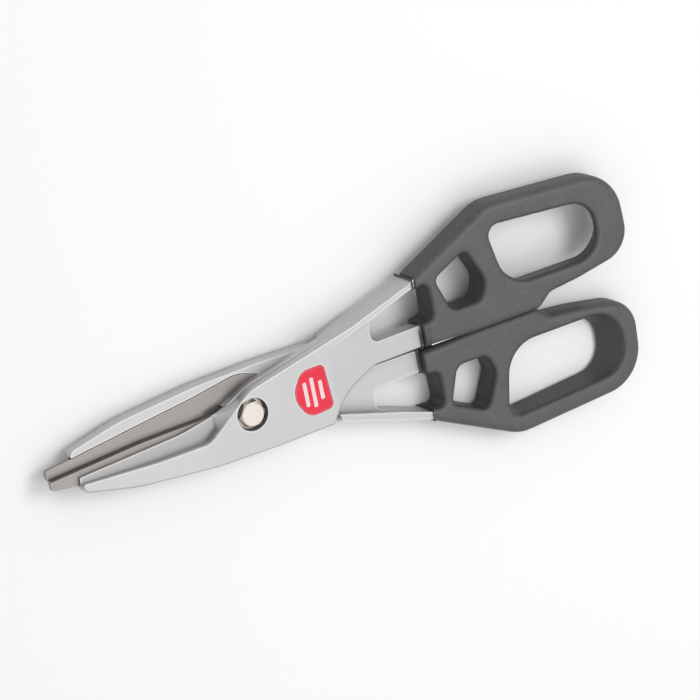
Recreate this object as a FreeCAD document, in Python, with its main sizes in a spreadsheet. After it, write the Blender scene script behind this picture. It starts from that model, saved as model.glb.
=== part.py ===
import FreeCAD, Part
import math
import os

# Tinner's snips with cast aluminium handles and inlaid steel blades.
#
# The tool is two halves that are the same casting, one turned over on the other.
# Frame: the pivot bolt's axis is Z, +X runs from the pivot to the handles, and the
# object lies on Z = 0. Each half is drawn in its own half frame: z = 0 is the shear
# plane, where the two blades slide on each other, the half's own face is +z, its jaw
# is at -x on the -y side and its handle at +x on the +y side. The front half is lifted
# to the shear plane; the back half is turned over about X as well.

os.makedirs("parts", exist_ok=True)
doc = FreeCAD.newDocument("tinner_snips")
Vector = FreeCAD.Vector

# ---------------------------------------------------------------- driving sizes, in mm
SIZES = [
    # overall
    ("blade_reach", 97.5, "pivot axis to the blade tips"),
    ("jaw_reach", 84.6, "pivot axis to the end of the cast jaw"),
    ("handle_reach", 205.5, "pivot axis to the end of the finger loops"),
    ("handle_spread", 57.6, "centre line to the outside of a closed handle"),
    ("jaw_half_width", 18.6, "centre line to the back of the jaw at the pivot"),
    ("heel_reach", 38.8, "pivot axis to the square heel behind the pivot"),
    ("collar_reach", 90.5, "pivot axis to where the grips begin"),
    # casting
    ("lap_thickness", 9.2, "each half's thickness over the pivot"),
    ("web_thickness", 4.6, "casting over the blade, down in the jaw's pocket"),
    ("spine_drop", 2.6, "how much lower the spine is at the jaw's end"),
    ("core_drop", 3.8, "how far the handle frame reaches past the shear plane"),
    ("bar_drop", 5.6, "the same for the bare outer bar of the neck"),
    ("rim_recess", 1.1, "depth of the web below the outer rim, at the opening"),
    ("edge_round", 0.9, "cast edges"),
    ("bar_width", 4.2, "outer bar of the neck"),
    ("rim_width", 3.2, "raised rim along the outer bar"),
    # blade
    ("blade_thickness", 3.2, "steel blade"),
    ("blade_bevel", 0.6, "how far the ground cutting face leans back"),
    ("blade_inset", 3.9, "casting left behind the blade's back"),
    ("blade_gap", 0.4, "open seam round the blade in its seat"),
    ("shear_gap", 0.02, "half the gap between the two blades"),
    ("screw_head_radius", 2.6, "countersunk blade screw"),
    ("screw_radius", 1.5, "countersunk blade screw"),
    ("screw_head_depth", 1.4, "countersunk blade screw"),
    ("screw_slack", 0.1, "round the blade screws"),
    # pivot
    ("bolt_radius", 3.175, "quarter inch bolt"),
    ("bolt_slack", 0.1, "between the bolt and what it goes through"),
    ("hex_flat_half", 5.55, "half of the width across flats"),
    ("head_height", 4.0, "hexagon head"),
    ("nut_height", 3.5, "thin lock nut"),
    ("bush_radius", 4.75, "outside of the steel bush that the halves turn on"),
    ("running_clearance", 0.05, "back half on the bush"),
    ("washer_radius", 7.2, "flat washers"),
    ("washer_thickness", 0.9, "flat washers"),
    ("seat_gap", 0.55, "round the washers in their counterbore"),
    ("seat_depth", 4.5, "counterbore below the lap face"),
    ("spring_thickness", 0.7, "dished spring washer"),
    ("spring_dish", 0.5, "dished spring washer, extra height of the dish"),
    # badge
    ("badge_centre", 31.6, "pivot axis to the centre of the badge's round side"),
    ("badge_radius", 11.0, "round side of the badge"),
    ("badge_depth", 0.6, "recess for the badge"),
    ("badge_thickness", 0.7, "badge plate"),
    ("badge_gap", 0.25, "between the badge and its recess"),
    ("bar_height", 0.15, "raised bars on the badge"),
    # grips
    ("grip_wall", 1.5, "vinyl over the casting, in plan"),
    ("grip_skin", 1.4, "vinyl over the casting's faces"),
    ("grip_round", 4.0, "outer edges of the grips"),
    ("hole_round", 2.4, "edges of the finger loops and openings"),
    ("closing_gap", 0.15, "centre line to each grip where the handles meet"),
]
sheet = doc.addObject("Spreadsheet::Sheet", "sizes")
for row, (alias, value, note) in enumerate(SIZES, start=1):
    sheet.set("A%d" % row, alias.replace("_", " "))
    sheet.set("B%d" % row, str(value))
    sheet.setAlias("B%d" % row, alias)
    sheet.set("C%d" % row, note)
doc.recompute()


def size(alias):
    """A driving size, read back from the sheet."""
    return float(getattr(sheet, alias))


def bind(thing, **expressions):
    """Tie properties of a document object to cells of the sheet."""
    for name, text in expressions.items():
        for alias, _, _ in SIZES:
            text = replace_word(text, alias)
        thing.setExpression(name, text)


def replace_word(text, word):
    """Write one alias in an expression as a reference to its cell."""
    parts = text.split(" ")
    return " ".join("sizes.%s" % word if part == word else part for part in parts)


# ---------------------------------------------------------------- outlines
def loop(corners):
    """Lines and tangent arcs round a closed outline of (x, y, corner radius)."""
    points = [Vector(x, y, 0) for x, y, _ in corners]
    count = len(points)
    ends = []
    arcs = []
    for i, (_, _, radius) in enumerate(corners):
        here = points[i]
        to_last = (points[i - 1] - here).normalize()
        to_next = (points[(i + 1) % count] - here).normalize()
        half = to_last.getAngle(to_next) / 2
        reach = radius / math.tan(half)
        start = here + to_last * reach
        stop = here + to_next * reach
        ends.append((start, stop))
        if radius > 0 and half < math.radians(89.9):
            inward = (to_last + to_next).normalize()
            middle = here + inward * (radius / math.sin(half) - radius)
            arcs.append(Part.Arc(start, middle, stop))
        else:
            ends[-1] = (here, here)
            arcs.append(None)
    edges = []
    for i in range(count):
        if arcs[i]:
            edges.append(arcs[i])
        start = ends[i][1]
        stop = ends[(i + 1) % count][0]
        if (stop - start).Length > 1e-4:
            edges.append(Part.LineSegment(start, stop))
    return edges


def shifted(corners, distance):
    """The same outline moved outwards by a distance, or inwards if it is negative."""
    count = len(corners)
    points = [Vector(x, y, 0) for x, y, _ in corners]
    area = sum(points[i - 1].x * points[i].y - points[i].x * points[i - 1].y for i in range(count))
    side = 1 if area > 0 else -1
    result = []
    for i, (_, _, radius) in enumerate(corners):
        along_in = (points[i] - points[i - 1]).normalize()
        along_out = (points[(i + 1) % count] - points[i]).normalize()
        out_in = Vector(along_in.y, -along_in.x, 0) * side
        out_out = Vector(along_out.y, -along_out.x, 0) * side
        mitre = (out_in + out_out).normalize()
        moved = points[i] + mitre * (distance / mitre.dot(out_in))
        convex = (along_in.x * along_out.y - along_in.y * along_out.x) * side > 0
        new_radius = radius + distance if convex else radius - distance
        result.append((moved.x, moved.y, max(new_radius, 0.4) if radius else 0))
    return result


# ---------------------------------------------------------------- PartDesign helpers
def new_body(label):
    body = doc.addObject("PartDesign::Body", label)
    body.Label = label
    return body


def draw(body, name, edges, height=None, plane="XY_Plane", tilt=0.0, x_shift=0.0):
    """A sketch on an origin plane, at a height (an expression) above it."""
    sketch = body.newObject("Sketcher::SketchObject", name)
    origin_plane = [item for item in body.Origin.OriginFeatures if item.Role == plane][0]
    sketch.AttachmentSupport = (origin_plane, [""])
    sketch.MapMode = "FlatFace"
    turn = FreeCAD.Rotation(Vector(0, 1, 0), tilt)
    sketch.AttachmentOffset = FreeCAD.Placement(Vector(x_shift, 0, 0), turn)
    sketch.addGeometry(edges)
    if height:
        bind(sketch, **{"AttachmentOffset.Base.z": height})
    return sketch


def pad(body, name, sketch, length, reverse=False):
    feature = body.newObject("PartDesign::Pad", name)
    feature.Profile = sketch
    feature.Reversed = reverse
    bind(feature, Length=length)
    return feature


def pocket(body, name, sketch, length, upwards=False):
    """Cut down from the sketch, or up from it."""
    feature = body.newObject("PartDesign::Pocket", name)
    feature.Profile = sketch
    feature.Reversed = upwards
    bind(feature, Length=length)
    before = body.Shape.Volume
    doc.recompute()
    if not feature.Shape.Volume < before - 1e-3:
        raise RuntimeError("%s cuts nothing from %s" % (name, body.Label))
    return feature


def circle(x, y, radius):
    return [Part.Circle(Vector(x, y, 0), Vector(0, 0, 1), radius)]


def hexagon(flat_half):
    corner = flat_half / math.cos(math.radians(30))
    return [(corner * math.cos(math.radians(a)), corner * math.sin(math.radians(a)), 0)
            for a in range(0, 360, 60)]


def lies_at(edge, height):
    return all(abs(vertex.Z - height) < 1e-4 for vertex in edge.Vertexes)


def round_edges(body, name, wanted, radius):
    """Fillet the edges of the tip feature that a test picks."""
    tip = body.Tip
    names = ["Edge%d" % (i + 1) for i, edge in enumerate(tip.Shape.Edges) if wanted(edge)]
    fillet = body.newObject("PartDesign::Fillet", name)
    fillet.Base = (tip, names)
    bind(fillet, Radius=radius)
    return fillet


# ---------------------------------------------------------------- the half's outlines
def blade_outline(ground_back):
    """Straight cutting edge on the +y side, curved back let into the casting."""
    tip = -size("blade_reach")
    back = size("jaw_half_width") - size("blade_inset")
    edge = [(2, 9.6, 8), (-16, 4.1 - ground_back, 30), (-52, 3.5 - ground_back, 80),
            (tip, 0.5 - ground_back, 0.5)]
    back_side = [(tip, -4.3, 1.2), (-60, -9.0, 80), (-24, -back + 1.3, 60),
                 (0, -back - 2.6, 16), (19, -back + 4.0, 9), (19, 9.6, 7)]
    return edge + back_side


def handle_outline():
    """Outside of the grip, from the outer collar round the finger loop and back."""
    end = size("handle_reach")
    out = size("handle_spread")
    meet = size("closing_gap")
    collar = size("collar_reach")
    return [(collar, out - 21.8, 0), (collar + 43.7, out, 20), (end - 1.0, out - 4.3, 21),
            (end + 0.7, 13.0, 15), (end - 29.5, 7.6, 20), (end - 45.5, 5.9, 5),
            (end - 52.5, meet, 3), (collar + 27.5, meet, 60), (collar, meet + 1.1, 0)]


def loop_hole(level):
    """Finger loop at the half's own face (level 1) or at its far face (level 0)."""
    start = size("collar_reach") + 38.5
    end = size("handle_reach")
    out = size("handle_spread")
    if level:
        return [(start + 3.5, out - 11.0, 5), (start + 9.5, 16.5, 16), (end - 18.5, 16.0, 12),
                (end - 18.5, out - 15.6, 12)]
    return [(start, out - 9.4, 6), (start + 6.5, 13.8, 17), (end - 8.5, 13.9, 15),
            (end - 8.5, out - 12.4, 14)]


def middle_opening():
    """The small opening through the grip, between its collars and the finger loop."""
    start = size("collar_reach") + 11.1
    out = size("handle_spread")
    return [(start, out - 26.6, 3), (start + 17.3, out - 18.0, 3), (start + 25.0, 23.0, 8),
            (start + 21.0, 14.3, 4), (start + 6.0, 14.3, 5)]


def neck_opening():
    """The open triangle between the outer and the inner bar, in the bare casting."""
    inner = 11.9
    start = size("heel_reach") + 25.9
    end = size("collar_reach") + 8.0
    bar = size("bar_width")
    return [(start, inner, 4), (end, inner, 4.5), (end + 0.2, bar_slope(end) - bar + 1.0, 4.5),
            (start, bar_slope(start) - bar, 4)]


def bar_slope(x):
    """Outer edge of the neck's outer bar."""
    rise = (size("handle_spread") - 23.3 - 23.1) / (size("collar_reach") - 55.0)
    return 23.1 + rise * (x - 55.0)


def casting_outline(raised):
    """The whole casting in plan; raised leaves out the pocket's floor beside the spine."""
    wide = size("jaw_half_width")
    jaw = size("jaw_reach")
    heel = size("heel_reach")
    core = shifted(handle_outline(), -size("grip_wall"))[1:-1]
    jaw_back = [(-jaw, -8.8, 3.0), (-60, -wide + 4.0, 90), (-20, -wide + 0.4, 120),
                (12, -wide - 0.2, 0), (heel, -wide + 0.4, 1.6)]
    lap = [(46.0, -6.5, 30), (64.0, 1.6, 14)]
    collar = size("collar_reach")
    bar = [(collar, bar_slope(collar), 0), (55.0, 23.1, 60)]
    if raised:
        pocket_side = [(0.6, 11.0, 16), (-22.8, -6.1, 9), (-48.0, -6.4, 0), (-jaw, -4.7, 1.4)]
    else:
        pocket_side = [(2.0, 12.2, 20), (-14.0, 4.6, 12), (-34.0, 0.9, 60), (-jaw, -2.0, 1.0)]
    return jaw_back + lap + list(reversed(core)) + bar + pocket_side


def far_side_outline():
    """The handle frame below the shear plane; it starts inside the neck's outer bar."""
    collar = size("collar_reach")
    start = collar - 4.0
    core = shifted(handle_outline(), -size("grip_wall"))[1:-1]
    inside = [(collar + 1.5, 3.1, 0), (collar + 1.5, 22.0, 0),
              (start, bar_slope(start) - size("bar_width") + 0.6, 0)]
    return [(start, bar_slope(start), 0), (collar, bar_slope(collar), 0)] + core + inside


def outer_bar_outline():
    """The deep outer bar of the neck, from behind the other half's heel to the collar."""
    start = size("heel_reach") + 5.0
    collar = size("collar_reach")
    bar = size("bar_width")
    return [(start, bar_slope(start) - bar + 0.8, 0), (collar, bar_slope(collar) - bar, 0),
            (collar, bar_slope(collar), 0), (start + 1.0, bar_slope(start + 1.0), 2.5)]


# ---------------------------------------------------------------- castings
def screw_places():
    """Two to a blade, in its heel, where the other half always covers the heads."""
    return [(12.5, 4.5), (8.5, -10.0)]


def build_casting(label, placement, bore, with_badge):
    body = new_body(label)
    plan = draw(body, label + "_plan", loop(casting_outline(raised=False)))
    pad(body, label + "_plate", plan, "web_thickness")
    raised = draw(body, label + "_raised_plan", loop(casting_outline(raised=True)), "web_thickness")
    pad(body, label + "_raised", raised, "lap_thickness - web_thickness")
    below = draw(body, label + "_frame_plan", loop(far_side_outline()))
    pad(body, label + "_frame", below, "core_drop", reverse=True)
    bar = draw(body, label + "_bar_plan", loop(outer_bar_outline()))
    pad(body, label + "_outer_bar", bar, "bar_drop", reverse=True)
    doc.recompute()

    # the pocket ends in a twisted ramp that climbs to the pivot boss
    foot = [(-17.6, 4.4, 0), (-17.6, -3.4, 0), (4, -3.4, 0), (4, 10.0, 0)]
    top = [(-6.6, 5.2, 0), (-18.6, -3.4, 0), (4, -3.4, 0), (4, 10.0, 0)]
    ramp = body.newObject("PartDesign::AdditiveLoft", label + "_ramp")
    ramp.Profile = draw(body, label + "_ramp_foot", loop(foot), "web_thickness")
    ramp.Sections = [draw(body, label + "_ramp_top", loop(top), "lap_thickness")]
    ramp.Ruled = True
    doc.recompute()

    # the spine falls away towards the end of the jaw
    level_part = 24.0
    run = size("jaw_reach") - level_part
    fall = math.degrees(math.atan(size("spine_drop") / run))
    cover = [(-run - 30, -40, 0), (0, -40, 0), (0, 30, 0), (-run - 30, 30, 0)]
    slope = draw(body, label + "_slope_plan", loop(cover), "lap_thickness", tilt=-fall,
                 x_shift=-level_part)
    pocket(body, label + "_slope", slope, "lap_thickness", upwards=True)

    # the web behind the outer rim is dished, deeper towards the opening
    dish_run = 26.0
    dish = math.degrees(math.atan(size("rim_recess") / dish_run))
    rim = size("rim_width")
    begins = size("heel_reach") + 3.2
    ends = size("collar_reach") + 3.5
    dish_plan = [(0, bar_slope(begins) - rim, 0), (0, -30, 0), (ends - begins, -30, 0),
                 (ends - begins, bar_slope(ends) - rim, 0)]
    dished = draw(body, label + "_dish_plan", loop(dish_plan), "lap_thickness", tilt=dish,
                  x_shift=begins)
    pocket(body, label + "_dish", dished, "lap_thickness", upwards=True)

    # openings, and the finger loop that widens towards the far side
    wall = size("grip_wall")
    for name, outline in (("neck", neck_opening()), ("middle", shifted(middle_opening(), wall))):
        hole = draw(body, "%s_%s_plan" % (label, name), loop(outline), "lap_thickness")
        pocket(body, "%s_%s_opening" % (label, name), hole, "lap_thickness + bar_drop")
    funnel = body.newObject("PartDesign::SubtractiveLoft", label + "_finger_loop")
    funnel.Profile = draw(body, label + "_loop_top", loop(shifted(loop_hole(1), wall)),
                          "lap_thickness + grip_skin")
    funnel.Sections = [draw(body, label + "_loop_far", loop(shifted(loop_hole(0), wall)),
                            "0 - core_drop - grip_skin")]
    funnel.Ruled = True
    funnel.Refine = False
    doc.recompute()

    # cast edges are softened before the machined seats are cut
    def outer_face_edge(edge):
        box = edge.BoundBox
        on_top = box.ZMin > size("web_thickness") + 0.8
        behind_collar = box.XMax > size("collar_reach") + 1.0
        across_the_web = box.XLength < 0.01 and box.YLength > 9.0
        at_the_opening = box.XMin > 62.0 and 9.0 < box.YMin < 20.0
        return on_top and not (behind_collar or across_the_web or at_the_opening)

    round_edges(body, label + "_soft_edges", outer_face_edge, "edge_round")
    doc.recompute()

    # seats: blade, blade screws, pivot, head or nut, badge
    seam = shifted(blade_outline(0.0), size("blade_gap"))
    blade_seat = draw(body, label + "_blade_seat_plan", loop(seam))
    pocket(body, label + "_blade_seat", blade_seat, "blade_thickness + shear_gap", upwards=True)
    screws = []
    for x, y in screw_places():
        screws += circle(x, y, size("screw_radius"))
    screw_holes = draw(body, label + "_screw_plan", screws)
    pocket(body, label + "_screw_holes", screw_holes, "web_thickness", upwards=True)
    bore_plan = draw(body, label + "_bore_plan", circle(0, 0, bore))
    pocket(body, label + "_bore", bore_plan, "lap_thickness", upwards=True)
    seat_radius = size("washer_radius") + size("seat_gap")
    seat_plan = draw(body, label + "_seat_plan", circle(0, 0, seat_radius), "lap_thickness")
    pocket(body, label + "_seat", seat_plan, "seat_depth")
    if with_badge:
        recess = draw(body, label + "_badge_plan", loop(badge_outline(size("badge_gap"))),
                      "lap_thickness")
        pocket(body, label + "_badge_recess", recess, "badge_depth")
    body.Placement = placement
    doc.recompute()
    return body


# ---------------------------------------------------------------- badge
def badge_outline(grow):
    """A D lying on its back: round towards the pivot, straight towards the handles."""
    x = size("badge_centre")
    r = size("badge_radius")
    flat = 7.6
    outline = [(x + flat - 0.8, r + 0.2, 2.4), (x - r * 0.42, r + 0.1, r * 0.62),
               (x - r - 0.1, 0.6, r * 0.95), (x - r * 0.42, -r + 0.2, r * 0.62),
               (x + flat + 0.6, -r + 1.2, 2.6)]
    return shifted(outline, grow)


# ---------------------------------------------------------------- blades
def build_blade(label, placement, bore):
    body = new_body(label)
    ground = body.newObject("PartDesign::AdditiveLoft", label + "_ground")
    ground.Profile = draw(body, label + "_inner_face", loop(blade_outline(0.0)), "shear_gap")
    ground.Sections = [draw(body, label + "_outer_face", loop(blade_outline(size("blade_bevel"))),
                            "shear_gap + blade_thickness")]
    ground.Ruled = True
    doc.recompute()
    bore_plan = draw(body, label + "_bore_plan", circle(0, 0, bore))
    pocket(body, label + "_bore", bore_plan, "lap_thickness", upwards=True)
    for number, (x, y) in enumerate(screw_places(), start=1):
        cone = countersink_profile(x, y, body, "%s_sink_%d" % (label, number), 0.0)
        cut = body.newObject("PartDesign::Groove", "%s_screw_hole_%d" % (label, number))
        cut.Profile = cone
        cut.ReferenceAxis = (cone, ["V_Axis"])
        cut.Angle = 360
        doc.recompute()
    body.Placement = placement
    doc.recompute()
    return body


def countersink_profile(x, y, body, name, inset):
    """Half section of a countersunk screw; its end meets the bottom of its hole."""
    sketch = body.newObject("Sketcher::SketchObject", name)
    plane = [item for item in body.Origin.OriginFeatures if item.Role == "XZ_Plane"][0]
    sketch.AttachmentSupport = (plane, [""])
    sketch.MapMode = "FlatFace"
    sketch.AttachmentOffset = FreeCAD.Placement(Vector(x, 0, -y), FreeCAD.Rotation())
    head = size("screw_head_radius") - inset
    shank = size("screw_radius") - inset
    face = size("shear_gap") + inset
    deep = size("web_thickness")
    sink = size("screw_head_depth")
    rim = size("shear_gap") + 0.3
    outline = [(0, face), (head, face), (head, rim), (shank, sink), (shank, deep), (0, deep)]
    points = [Vector(px, pz, 0) for px, pz in outline]
    sketch.addGeometry([Part.LineSegment(points[i - 1], points[i]) for i in range(len(points))])
    return sketch


def build_screw(label, x, y, placement):
    body = new_body(label)
    profile = countersink_profile(x, y, body, label + "_section", size("screw_slack"))
    turned = body.newObject("PartDesign::Revolution", label + "_turned")
    turned.Profile = profile
    turned.ReferenceAxis = (profile, ["V_Axis"])
    turned.Angle = 360
    doc.recompute()
    body.Placement = placement
    return body


# ---------------------------------------------------------------- grips
def build_grip(label, casting, placement):
    """A dipped vinyl sleeve: the outer form less the casting inside it."""
    blank = new_body(label + "_form")
    outside = draw(blank, label + "_plan", loop(handle_outline()), "0 - core_drop - grip_skin")
    pad(blank, label + "_outside", outside, "lap_thickness + core_drop + 2 * grip_skin")
    doc.recompute()
    low = -size("core_drop") - size("grip_skin")
    high = size("lap_thickness") + size("grip_skin")
    collar = size("collar_reach")

    def outer_edge(edge):
        level = lies_at(edge, low) or lies_at(edge, high)
        return level and edge.BoundBox.XLength > 0.01

    round_edges(blank, label + "_rounded", outer_edge, "grip_round")
    doc.recompute()
    funnel = blank.newObject("PartDesign::SubtractiveLoft", label + "_finger_loop")
    funnel.Profile = draw(blank, label + "_loop_top", loop(loop_hole(1)), "lap_thickness + grip_skin")
    funnel.Sections = [draw(blank, label + "_loop_far", loop(loop_hole(0)), "0 - core_drop - grip_skin")]
    funnel.Ruled = True
    funnel.Refine = False
    doc.recompute()
    openings = (("middle", middle_opening()), ("neck", shifted(neck_opening(), -size("grip_wall"))))
    for name, outline in openings:
        hole = draw(blank, "%s_%s_plan" % (label, name), loop(outline), "lap_thickness + grip_skin")
        pocket(blank, "%s_%s_opening" % (label, name), hole,
               "lap_thickness + core_drop + 2 * grip_skin")

    def hole_edge(edge):
        box = edge.BoundBox
        level = lies_at(edge, low) or lies_at(edge, high)
        inside = box.XMin > collar + 0.5 and box.YMin > size("closing_gap") + 8
        return level and inside and box.YMax < size("handle_spread") - 5.0

    round_edges(blank, label + "_hole_edges", hole_edge, "hole_round")
    doc.recompute()
    blank.Placement = placement
    sleeve = doc.addObject("Part::Cut", label)
    sleeve.Label = label
    sleeve.Base = blank
    sleeve.Tool = casting
    doc.recompute()
    return sleeve


# ---------------------------------------------------------------- pivot hardware
def ring(label, outer, inner, low, thickness):
    """A round piece with a hole, standing on a height, all tied to the sheet."""
    solid = doc.addObject("Part::Cylinder", label + "_outside")
    hole = doc.addObject("Part::Cylinder", label + "_inside")
    for item, radius in ((solid, outer), (hole, inner)):
        bind(item, **{"Radius": radius, "Height": thickness, "Placement.Base.z": low})
    cut = doc.addObject("Part::Cut", label)
    cut.Label = label
    cut.Base = solid
    cut.Tool = hole
    return cut


SHEAR = "lap_thickness + grip_skin"
SEAT = SHEAR + " + lap_thickness - seat_depth"
BACK_SEAT = "grip_skin + seat_depth"


def build_bolt():
    """Hexagon head in the front counterbore, shank down to the surface it lies on."""
    body = new_body("pivot_bolt")
    under_head = SEAT + " + washer_thickness"
    head = draw(body, "bolt_head_plan", loop(hexagon(size("hex_flat_half"))), under_head)
    pad(body, "bolt_head", head, "head_height")
    doc.recompute()
    crown = draw(body, "bolt_crown_section", crown_section(), plane="XZ_Plane")
    cut = body.newObject("PartDesign::Groove", "bolt_crown")
    cut.Profile = crown
    cut.ReferenceAxis = (crown, ["V_Axis"])
    cut.Angle = 360
    doc.recompute()
    shank = draw(body, "bolt_shank_plan", circle(0, 0, size("bolt_radius")), under_head)
    pad(body, "bolt_shank", shank, under_head, reverse=True)
    doc.recompute()
    return body


def crown_section():
    """What the round chamfer takes off the head's corners."""
    top = 2 * size("lap_thickness") + size("grip_skin") - size("seat_depth")
    top += size("washer_thickness") + size("head_height")
    flat = size("hex_flat_half")
    points = [Vector(flat * 0.93, top, 0), Vector(flat * 1.4, top - 1.5, 0), Vector(flat * 1.4, top, 0)]
    return [Part.LineSegment(points[i - 1], points[i]) for i in range(3)]


def build_nut():
    body = new_body("pivot_nut")
    top = BACK_SEAT + " - washer_thickness - spring_thickness - spring_dish"
    plan = loop(hexagon(size("hex_flat_half"))) + circle(0, 0, size("bolt_radius"))
    pad(body, "nut_block", draw(body, "nut_plan", plan, top), "nut_height", reverse=True)
    doc.recompute()
    return body


def build_spring():
    """A dished washer that keeps the blades pressed together."""
    body = new_body("spring_washer")
    high = size("grip_skin") + size("seat_depth") - size("washer_thickness")
    thick = size("spring_thickness")
    dish = size("spring_dish")
    inner = size("bolt_radius") + 2 * size("bolt_slack")
    outer = size("washer_radius") - 0.6
    section = [(inner, high - dish), (outer, high), (outer, high - thick), (inner, high - dish - thick)]
    points = [Vector(x, z, 0) for x, z in section]
    edges = [Part.LineSegment(points[i - 1], points[i]) for i in range(4)]
    sketch = draw(body, "spring_section", edges, plane="XZ_Plane")
    turned = body.newObject("PartDesign::Revolution", "spring_turned")
    turned.Profile = sketch
    turned.ReferenceAxis = (sketch, ["V_Axis"])
    turned.Angle = 360
    doc.recompute()
    return body


def build_badge():
    """A flat plate in the front casting's recess, with three raised bars."""
    floor = SHEAR + " + lap_thickness - badge_depth"
    plate = new_body("badge_plate")
    plan = draw(plate, "badge_plate_plan", loop(badge_outline(0.0)), floor)
    pad(plate, "badge_plate_pad", plan, "badge_thickness")
    bars = new_body("badge_bars")
    edges = []
    for x, length in ((-5.2, 11.5), (-1.4, 14.0), (2.6, 9.0)):
        left = size("badge_centre") + x
        edges += loop([(left, -length / 2, 0.6), (left + 1.9, -length / 2, 0.6),
                       (left + 1.9, length / 2, 0.6), (left, length / 2, 0.6)])
    bar_plan = draw(bars, "badge_bars_plan", edges, floor + " + badge_thickness")
    pad(bars, "badge_bars_pad", bar_plan, "bar_height")
    doc.recompute()
    return [plate, bars]


# ---------------------------------------------------------------- the assembly
shear_height = size("lap_thickness") + size("grip_skin")
lifted = Vector(0, 0, shear_height)
front = FreeCAD.Placement(lifted, FreeCAD.Rotation())
back = FreeCAD.Placement(lifted, FreeCAD.Rotation(Vector(1, 0, 0), 180))
pressed = size("bush_radius")
running = size("bush_radius") + size("running_clearance")

nodes = []
for half, grip, placement, bore in (("front", "upper_grip", front, pressed),
                                    ("back", "lower_grip", back, running)):
    casting = build_casting(half + "_casting", placement, bore, half == "front")
    nodes.append(casting)
    nodes.append(build_blade(half + "_blade", placement, bore))
    for number, (x, y) in enumerate(screw_places(), start=1):
        nodes.append(build_screw("%s_blade_screw_%d" % (half, number), x, y, placement))
    nodes.append(build_grip(grip, casting, placement))
nodes.append(build_bolt())
nodes.append(build_nut())
nodes.append(build_spring())
hole = "bolt_radius + bolt_slack"
nodes.append(ring("pivot_bush", "bush_radius", hole, BACK_SEAT,
                  "2 * lap_thickness - 2 * seat_depth"))
nodes.append(ring("front_washer", "washer_radius", hole, SEAT, "washer_thickness"))
nodes.append(ring("back_washer", "washer_radius", hole, BACK_SEAT + " - washer_thickness",
                  "washer_thickness"))
nodes += build_badge()
doc.recompute()

for item in doc.Objects:
    if "Invalid" in item.State or "Error" in item.State:
        raise RuntimeError("%s did not build: %s" % (item.Name, item.State))
for node in nodes:
    shape = node.Shape
    if shape.isNull() or not shape.isValid() or not shape.Solids:
        raise RuntimeError("%s has no valid solid" % node.Label)
    shape.exportStep("parts/%s.step" % node.Label)
    box = shape.BoundBox
    print("%-22s solids %d  volume %9.1f  x %7.1f %7.1f  y %6.1f %6.1f  z %5.1f %5.1f" % (
        node.Label, len(shape.Solids), shape.Volume, box.XMin, box.XMax,
        box.YMin, box.YMax, box.ZMin, box.ZMax))
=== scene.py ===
import math

import bmesh
import bpy
from mathutils import Matrix, Vector


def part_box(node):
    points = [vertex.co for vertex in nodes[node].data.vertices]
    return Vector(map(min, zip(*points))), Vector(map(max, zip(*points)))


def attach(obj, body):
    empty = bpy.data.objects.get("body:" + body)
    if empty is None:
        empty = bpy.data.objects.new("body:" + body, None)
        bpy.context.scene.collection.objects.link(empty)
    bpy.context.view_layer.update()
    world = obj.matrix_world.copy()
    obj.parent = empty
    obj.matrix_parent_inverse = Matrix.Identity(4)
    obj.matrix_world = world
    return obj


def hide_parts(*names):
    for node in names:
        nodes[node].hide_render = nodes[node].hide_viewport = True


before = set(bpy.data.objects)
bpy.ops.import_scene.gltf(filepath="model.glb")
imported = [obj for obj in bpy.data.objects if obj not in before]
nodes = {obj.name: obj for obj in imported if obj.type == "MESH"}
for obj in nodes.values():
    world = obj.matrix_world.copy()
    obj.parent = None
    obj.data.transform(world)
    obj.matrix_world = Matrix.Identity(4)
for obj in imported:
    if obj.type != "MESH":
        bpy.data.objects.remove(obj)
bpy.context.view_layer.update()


# ---------------------------------------------------------------- castings
# Two die castings in a silicon aluminium alloy, shot blasted and left bare: pale, even
# and dull, with a fine skin from the die and softly rounded edges. One is the other
# turned over.
class Socket:
    """A node's output; arithmetic on it adds Math nodes to the same material."""

    def __init__(self, finish, output):
        self.finish = finish
        self.output = output

    def math(self, operation, first, second=None):
        values = {0: first} if second is None else {0: first, 1: second}
        return self.finish.node("ShaderNodeMath", {"operation": operation}, values)

    def __add__(self, other):
        return self.math("ADD", self, other)

    def __radd__(self, other):
        return self.math("ADD", other, self)

    def __sub__(self, other):
        return self.math("SUBTRACT", self, other)

    def __rsub__(self, other):
        return self.math("SUBTRACT", other, self)

    def __mul__(self, other):
        return self.math("MULTIPLY", self, other)

    def __pow__(self, other):
        return self.math("POWER", self, other)

    def magnitude(self):
        return self.math("ABSOLUTE", self)

    def clamped(self):
        return self.finish.node("ShaderNodeClamp", {}, {"Value": self})


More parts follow.
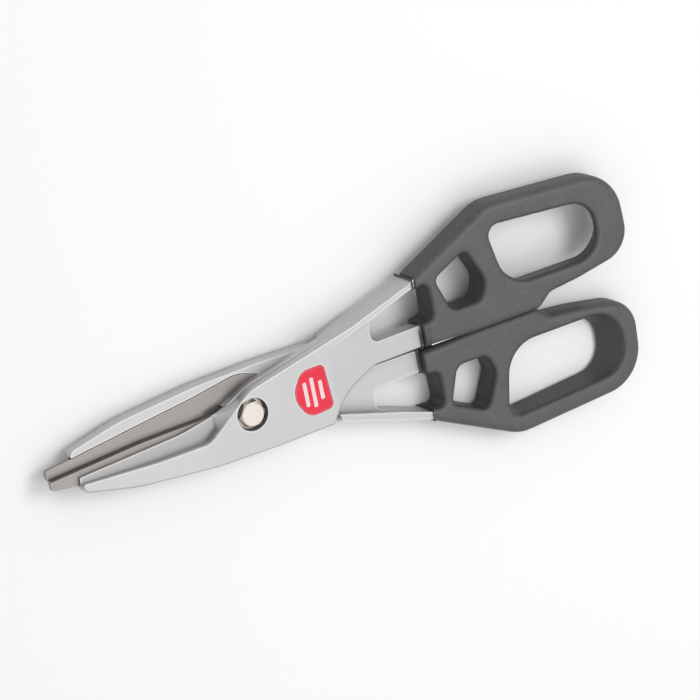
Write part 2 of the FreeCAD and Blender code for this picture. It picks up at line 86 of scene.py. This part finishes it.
class Finish:
    """One procedural material, built round a single Principled shader."""

    RAYS = 6

    def __init__(self, name, color, metallic, roughness):
        self.material = bpy.data.materials.new(name)
        self.material.use_nodes = True
        self.tree = self.material.node_tree
        self.shader = self.tree.nodes["Principled BSDF"]
        self.set("Base Color", (*color, 1.0))
        self.set("Metallic", metallic)
        self.set("Roughness", roughness)
        place = self.tree.nodes.new("ShaderNodeTexCoord")
        self.place = Socket(self, place.outputs["Object"])

    def set(self, name, value):
        self.join(self.shader.inputs[name], value)

    def join(self, socket, value):
        if isinstance(value, Socket):
            self.tree.links.new(value.output, socket)
        else:
            socket.default_value = value

    def node(self, kind, settings, values, output=0):
        """A node of any kind: its settings first, then the values or links of its sockets."""
        made = self.tree.nodes.new(kind)
        for name, value in settings.items():
            setattr(made, name, value)
        for name, value in values.items():
            self.join(made.inputs[name], value)
        return Socket(self, made.outputs[output])

    def stretched(self, scale, turn=(0.0, 0.0, 0.0)):
        """Object coordinates scaled along each axis, for grain that runs one way."""
        return self.node("ShaderNodeMapping", {}, {"Vector": self.place, "Scale": scale,
                                                   "Rotation": turn})

    def noise(self, grain, detail=2.0, rough=0.5, vector=None):
        """Noise from 0 to 1 whose lumps are about `grain` metres across."""
        values = {"Vector": vector or self.place, "Scale": 1.0 / grain, "Detail": detail,
                  "Roughness": rough}
        return self.node("ShaderNodeTexNoise", {}, values)

    def blend(self, factor, first, second):
        """A colour between two colours; 0, 6, 7 and 2 are the Mix node's colour sockets."""
        values = {0: factor, 6: self.color(first), 7: self.color(second)}
        return self.node("ShaderNodeMix", {"data_type": "RGBA"}, values, 2)

    def creases(self, reach):
        """1 in the open, less in corners and under ledges."""
        return self.node("ShaderNodeAmbientOcclusion", {"samples": self.RAYS}, {"Distance": reach}, 1)

    def edges(self, reach):
        """0 on flat faces, rising on outside edges."""
        settings = {"samples": self.RAYS, "inside": True}
        inside = self.node("ShaderNodeAmbientOcclusion", settings, {"Distance": reach}, 1)
        return 1.0 - inside

    def height_from(self, level):
        """How far a point is above or below a level, in metres."""
        height = self.node("ShaderNodeSeparateXYZ", {}, {"Vector": self.place}, 2)
        return (height - level).magnitude()

    def facing_up(self):
        """1 where the surface faces straight up or down, 0 on upright walls."""
        normal = self.node("ShaderNodeNewGeometry", {}, {}, 1)
        return self.node("ShaderNodeSeparateXYZ", {}, {"Vector": normal}, 2).magnitude()

    def color(self, value):
        return value if isinstance(value, Socket) else (*value, 1.0)

    def bump(self, height, depth, strength=1.0):
        """Relief `depth` metres deep, from a height of 0 to 1."""
        values = {"Height": height, "Distance": depth, "Strength": strength}
        self.set("Normal", self.node("ShaderNodeBump", {}, values))


SHEAR_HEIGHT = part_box("front_blade")[0][2]  # the plane where the blades meet
POCKET_LEVEL = 0.0046  # the jaw pocket's floor, off the shear plane
POCKET_FADE = 1200.0  # per metre off that floor, until its painted shade is gone


def cast_aluminium():
    finish = Finish("cast_aluminium", (0.60, 0.605, 0.61), 0.8, 0.46)
    skin = finish.noise(0.0009, 3.0, 0.6)
    flow = finish.noise(0.022, 3.0, 0.55)
    specks = finish.noise(0.0028, 2.0, 0.5)
    open_air = finish.creases(0.007)
    # Painted highlight: the colour is lightened along outside edges, where rounded edges would catch
    # the lamps; the same mask makes them a little glossier.
    painted_edge_highlight = (finish.edges(0.0009) * 1.1).clamped()
    tone = (flow * 0.7 + skin * 0.3).clamped()
    blasted = finish.blend(tone, (0.475, 0.478, 0.48), (0.57, 0.572, 0.573))
    # Painted shade: the flat floor of each jaw pocket gets a darker colour, for the shade in that
    # recess.
    floor = finish.blend(tone, (0.385, 0.38, 0.376), (0.46, 0.455, 0.45))
    off_shear = finish.height_from(SHEAR_HEIGHT)
    pocket_shade_mask = (1.0 - (off_shear - POCKET_LEVEL).magnitude() * POCKET_FADE).clamped()
    level = finish.facing_up() ** 6
    pocket_shaded = finish.blend((pocket_shade_mask * level * 1.5).clamped(), blasted, floor)
    # Painted shade: the colour darkens in corners and under ledges, where shade falls.
    crease_shaded = finish.blend(open_air, (0.26, 0.258, 0.255), pocket_shaded)
    finish.set("Base Color", finish.blend(painted_edge_highlight, crease_shaded, (0.80, 0.802, 0.805)))
    finish.set("Roughness", 0.40 + skin * 0.12 + flow * 0.06 - painted_edge_highlight * 0.08)
    finish.bump(skin * 0.65 + specks * 0.35, 0.00006, 0.6)
    return finish.material


ALUMINIUM = cast_aluminium()


def give(name, material):
    """Put a material on a carried-over node."""
    node = nodes[name]
    node.data.materials.clear()
    node.data.materials.append(material)


for half in ("front", "back"):
    give(half + "_casting", ALUMINIUM)


# ---------------------------------------------------------------- blades
# Hardened steel blades, 3.2 mm thick, let into seats in the castings and screwed down.
# They are surface ground, with fine lines along the blade and a thin film of oil.
def ground_steel():
    finish = Finish("ground_steel", (0.42, 0.395, 0.37), 1.0, 0.34)
    lines = finish.noise(0.0006, 3.0, 0.6, finish.stretched((0.05, 1.0, 1.0), (0, 0, 0.13)))
    film = finish.noise(0.016, 3.0, 0.6)
    steel = finish.blend((film * 0.6 + lines * 0.4).clamped(), (0.235, 0.216, 0.209),
                         (0.325, 0.302, 0.292))
    # Painted shade: the steel's colour darkens in corners and under ledges, where shade falls.
    crease_shaded_steel = finish.blend(finish.creases(0.003) ** 1.3, (0.08, 0.07, 0.063), steel)
    # Painted highlight: the steel's outside edges are lightened.
    finish.set("Base Color", finish.blend((finish.edges(0.0005) * 1.2).clamped(), crease_shaded_steel,
                                          (0.46, 0.44, 0.43)))
    finish.set("Roughness", 0.27 + lines * 0.14 + film * 0.08)
    finish.bump(lines, 0.00003, 0.5)
    return finish.material


STEEL = ground_steel()
for half in ("front", "back"):
    give(half + "_blade", STEEL)


# ---------------------------------------------------------------- blade screws
# Four countersunk steel screws, chemically blackened, two to a blade. They are driven
# from the blades' inner faces into the castings.
def black_oxide():
    finish = Finish("black_oxide", (0.05, 0.05, 0.052), 0.8, 0.45)
    wear = finish.noise(0.0012, 3.0, 0.6)
    finish.set("Base Color", finish.blend(wear, (0.035, 0.035, 0.037), (0.11, 0.108, 0.105)))
    finish.set("Roughness", 0.38 + wear * 0.18)
    finish.bump(wear, 0.00003, 0.5)
    return finish.material


BLACKENED = black_oxide()
for half in ("front", "back"):
    for number in (1, 2):
        give("%s_blade_screw_%d" % (half, number), BLACKENED)


# ---------------------------------------------------------------- pivot
# A nickel plated quarter inch bolt with its washers, dished spring washer and thin lock
# nut, sunk in round seats in the castings, and the plain steel bush that they turn on.
def nickel_plate():
    finish = Finish("nickel_plate", (0.74, 0.69, 0.63), 1.0, 0.3)
    forged = finish.noise(0.0022, 3.0, 0.6)
    grain = finish.noise(0.0004, 2.0, 0.5)
    plated = finish.blend(forged, (0.50, 0.455, 0.41), (0.70, 0.655, 0.605))
    # Painted shade: the plating's colour darkens in corners and under ledges, where shade falls.
    finish.set("Base Color", finish.blend(finish.creases(0.002) ** 1.2, (0.20, 0.19, 0.18), plated))
    finish.set("Roughness", 0.24 + forged * 0.2)
    finish.bump(forged * 0.7 + grain * 0.3, 0.00008, 0.6)
    return finish.material


NICKEL = nickel_plate()
for name in ("pivot_bolt", "pivot_nut", "spring_washer", "front_washer", "back_washer"):
    give(name, NICKEL)
give("pivot_bush", STEEL)


# ---------------------------------------------------------------- badge
# A flat red plastic plate with a satin face, glued in a recess in the front casting.
# Three plain white bars stand raised on it, with no lettering.
def badge_plastic(name, dark, light):
    finish = Finish(name, light, 0.0, 0.4)
    cloud = finish.noise(0.006, 2.0, 0.5)
    printed = finish.blend(cloud, dark, light)
    # Painted highlight: the badge's outside edges are lightened towards pink.
    painted_rim_highlight = (finish.edges(0.0007) * 1.4).clamped()
    finish.set("Base Color", finish.blend(painted_rim_highlight * 0.5, printed, (0.95, 0.45, 0.48)))
    finish.set("Roughness", 0.36 + cloud * 0.12)
    finish.set("Specular IOR Level", 0.3)
    finish.bump(cloud, 0.00004, 0.4)
    return finish.material


give("badge_plate", badge_plastic("badge_red", (0.72, 0.022, 0.05), (0.84, 0.036, 0.075)))
give("badge_bars", badge_plastic("badge_white", (0.80, 0.78, 0.77), (0.90, 0.89, 0.88)))


# ---------------------------------------------------------------- grips
# Thick plasticised vinyl, dipped over the handle frames: charcoal, satin, with a fine
# pebbled skin that catches the light as small specks.
def vinyl():
    finish = Finish("grip_vinyl", (0.06, 0.062, 0.066), 0.0, 0.5)
    pebble = finish.noise(0.0011, 2.0, 0.55)
    pores = finish.noise(0.0004, 1.0, 0.5)
    haze = finish.noise(0.012, 3.0, 0.6)
    mottle = ((haze * 0.35 + pebble * 0.65 - 0.3) * 2.2).clamped()
    dusty = finish.blend(mottle, (0.022, 0.022, 0.024), (0.088, 0.089, 0.092))
    shaded = finish.blend(finish.creases(0.012), (0.014, 0.014, 0.015), dusty)
    # Painted highlight: the vinyl's outside edges are lightened.
    painted_edge_highlight = (finish.edges(0.0025) * 1.2).clamped()
    walls = 1.0 - finish.facing_up()
    upper = finish.blend(painted_edge_highlight * 0.4, shaded, (0.17, 0.172, 0.176))
    # Painted shade: upright walls are darkened against the top faces.
    finish.set("Base Color", finish.blend((walls * 0.55).clamped(), upper, (0.016, 0.016, 0.017)))
    finish.set("Roughness", 0.36 + pebble * 0.22 + haze * 0.06)
    finish.bump(pebble * 0.7 + pores * 0.3, 0.00022, 0.75)
    return finish.material


VINYL = vinyl()
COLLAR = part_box("upper_grip")[0][0]  # where the grips begin
WELD = 1e-6  # corners this close are one
SLEEVE_START = 0.0002  # the looks' sleeve begins this far inside the grip
SKIN_VOXEL = 0.0007
SKIN_SOFTENING = 9


def vinyl_piece(name, made, body):
    """A finished bmesh as a vinyl object at the origin that rides on a body."""
    mesh = bpy.data.meshes.new(name)
    made.to_mesh(mesh)
    made.free()
    item = bpy.data.objects.new(name, mesh)
    bpy.context.collection.objects.link(item)
    mesh.materials.append(VINYL)
    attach(item, body)
    return item


def dipped_sleeve(name, grip, casting, body):
    """The handle frame and the sleeve over it as one closed form, softened as dipping does."""
    made = bmesh.new()
    made.from_mesh(nodes[grip].data)
    made.from_mesh(nodes[casting].data)
    bmesh.ops.remove_doubles(made, verts=made.verts, dist=WELD)
    bmesh.ops.bisect_plane(made, geom=made.verts[:] + made.edges[:] + made.faces[:],
                           plane_co=(COLLAR + SLEEVE_START, 0, 0), plane_no=(-1, 0, 0),
                           clear_outer=True)
    open_edges = [edge for edge in made.edges if edge.is_boundary]
    bmesh.ops.holes_fill(made, edges=open_edges, sides=0)
    item = vinyl_piece(name, made, body)
    skin = item.modifiers.new("one_skin", "REMESH")
    skin.mode = "VOXEL"
    skin.voxel_size = SKIN_VOXEL
    skin.use_smooth_shade = True
    soft = item.modifiers.new("soft", "SMOOTH")
    soft.factor = 0.5
    soft.iterations = SKIN_SOFTENING
    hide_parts(grip)


dipped_sleeve("upper_sleeve", "upper_grip", "front_casting", "front_half")
dipped_sleeve("lower_sleeve", "lower_grip", "back_casting", "back_half")


# ---------------------------------------------------------------- collar lips
# Where each sleeve was trimmed, the vinyl curls out into a thin soft lip round the bar
# of the handle frame that comes out of it: two bars to a handle.
LIP_REACH = 0.0010  # how far a lip stands out from the bar
LIP_THICKNESS = 0.0006
LIP_OFFSET = 0.0004  # from the grip's end to the lip's root, and the lip's curl


def islands(edges):
    """The separate loops among some edges."""
    left = set(edges)
    while left:
        loop, waiting = [], [left.pop()]
        while waiting:
            edge = waiting.pop()
            loop.append(edge)
            near = [other for vert in edge.verts for other in vert.link_edges if other in left]
            left.difference_update(near)
            waiting.extend(near)
        yield loop


def collar_lips(name, casting, body):
    """A flat ring round each bar, outset from the bar's own section at the collar."""
    made = bmesh.new()
    made.from_mesh(nodes[casting].data)
    bmesh.ops.remove_doubles(made, verts=made.verts, dist=WELD)
    bmesh.ops.bisect_plane(made, geom=made.verts[:] + made.edges[:] + made.faces[:],
                           plane_co=(COLLAR - LIP_OFFSET, 0, 0), plane_no=(1, 0, 0),
                           clear_inner=True, clear_outer=True)
    for section in list(islands(made.edges)):
        verts = list({vert for edge in section for vert in edge.verts})
        low = Vector([min(vert.co[axis] for vert in verts) for axis in range(3)])
        high = Vector([max(vert.co[axis] for vert in verts) for axis in range(3)])
        centre = (low + high) / 2
        wide = high - low
        copied = bmesh.ops.duplicate(made, geom=verts + section)["geom"]
        outer = [item for item in copied if isinstance(item, bmesh.types.BMVert)]
        rim = [item for item in copied if isinstance(item, bmesh.types.BMEdge)]
        grown = (1.0, 1 + 2 * LIP_REACH / wide.y, 1 + 2 * LIP_REACH / wide.z)
        bmesh.ops.scale(made, vec=grown, space=Matrix.Translation(-centre), verts=outer)
        bmesh.ops.translate(made, vec=(-LIP_OFFSET, 0, 0), verts=outer)
        bmesh.ops.bridge_loops(made, edges=section + rim)
    bmesh.ops.recalc_face_normals(made, faces=made.faces)
    item = vinyl_piece(name, made, body)
    wall = item.modifiers.new("wall", "SOLIDIFY")
    wall.thickness = LIP_THICKNESS
    wall.offset = 0.0
    wall.use_even_offset = True
    soft = item.modifiers.new("soft", "SUBSURF")
    soft.levels = 2
    soft.render_levels = 2


collar_lips("upper_collar_lips", "front_casting", "front_half")
collar_lips("lower_collar_lips", "back_casting", "back_half")


# ---------------------------------------------------------------- floor, light, camera
# A plain pale floor under a soft sky that is darker at the horizon, with two large soft
# lamps overhead; the camera looks down from beyond the jaws through a long lens.
middle = Vector((0.0582, 0.009, 0.0088))  # what the lamps and the camera face
floor_reach = 1.6

made = bmesh.new()
bmesh.ops.create_grid(made, x_segments=1, y_segments=1, size=floor_reach)
mesh = bpy.data.meshes.new("floor")
made.to_mesh(mesh)
made.free()
floor = bpy.data.objects.new("floor", mesh)
bpy.context.collection.objects.link(floor)
mesh.materials.append(Finish("pale_floor", (0.93, 0.93, 0.93), 0.0, 0.9).material)


def soft_lamp(name, place, size, power):
    """A round lamp that faces the middle of the snips."""
    offset = Vector(place)
    data = bpy.data.lights.new(name, "AREA")
    data.shape = "DISK"
    data.size = size
    data.energy = power
    item = bpy.data.objects.new(name, data)
    item.location = middle + offset
    item.rotation_euler = (-offset).to_track_quat("-Z", "Y").to_euler()
    bpy.context.collection.objects.link(item)


soft_lamp("key", place=(0.5, 0.36, 1.2), size=0.7, power=5.6)
soft_lamp("top", place=(0.1, -0.35, 1.25), size=0.9, power=2.6)

sky_strength = 0.72
sky_stops = ((0.52, 0.34), (0.78, 1.0))  # place on the ramp from nadir to zenith, and grey
sky = bpy.data.worlds.new("sky")
sky.use_nodes = True
shades = sky.node_tree.nodes
ramp = shades.new("ShaderNodeValToRGB")
for stop, (where, shade) in zip(ramp.color_ramp.elements, sky_stops):
    stop.position = where
    stop.color = (shade, shade, shade, 1.0)
toward = shades.new("ShaderNodeTexCoord")
height = shades.new("ShaderNodeSeparateXYZ")
upper = shades.new("ShaderNodeMapRange")
upper.inputs["From Min"].default_value = -1.0
joined = sky.node_tree.links
joined.new(toward.outputs["Generated"], height.inputs["Vector"])
joined.new(height.outputs["Z"], upper.inputs["Value"])
joined.new(upper.outputs["Result"], ramp.inputs["Fac"])
joined.new(ramp.outputs["Color"], shades["Background"].inputs["Color"])
shades["Background"].inputs["Strength"].default_value = sky_strength
bpy.context.scene.world = sky
bpy.context.scene.view_settings.view_transform = "Standard"

azimuth = math.radians(-127.75)
elevation = math.radians(59.2)
roll = math.radians(112.15)
distance = 1.5
back = Vector((math.sin(azimuth) * math.cos(elevation), -math.cos(azimuth) * math.cos(elevation),
               math.sin(elevation)))
lens = bpy.data.cameras.new("camera")
lens.lens = 170.2
lens.sensor_width = 36.0
lens.clip_start = 0.05
camera = bpy.data.objects.new("camera", lens)
camera.matrix_world = (Matrix.Translation(middle + back * distance)
                       @ back.to_track_quat("Z", "Y").to_matrix().to_4x4()
                       @ Matrix.Rotation(roll, 4, "Z"))
bpy.context.collection.objects.link(camera)
bpy.context.scene.camera = camera
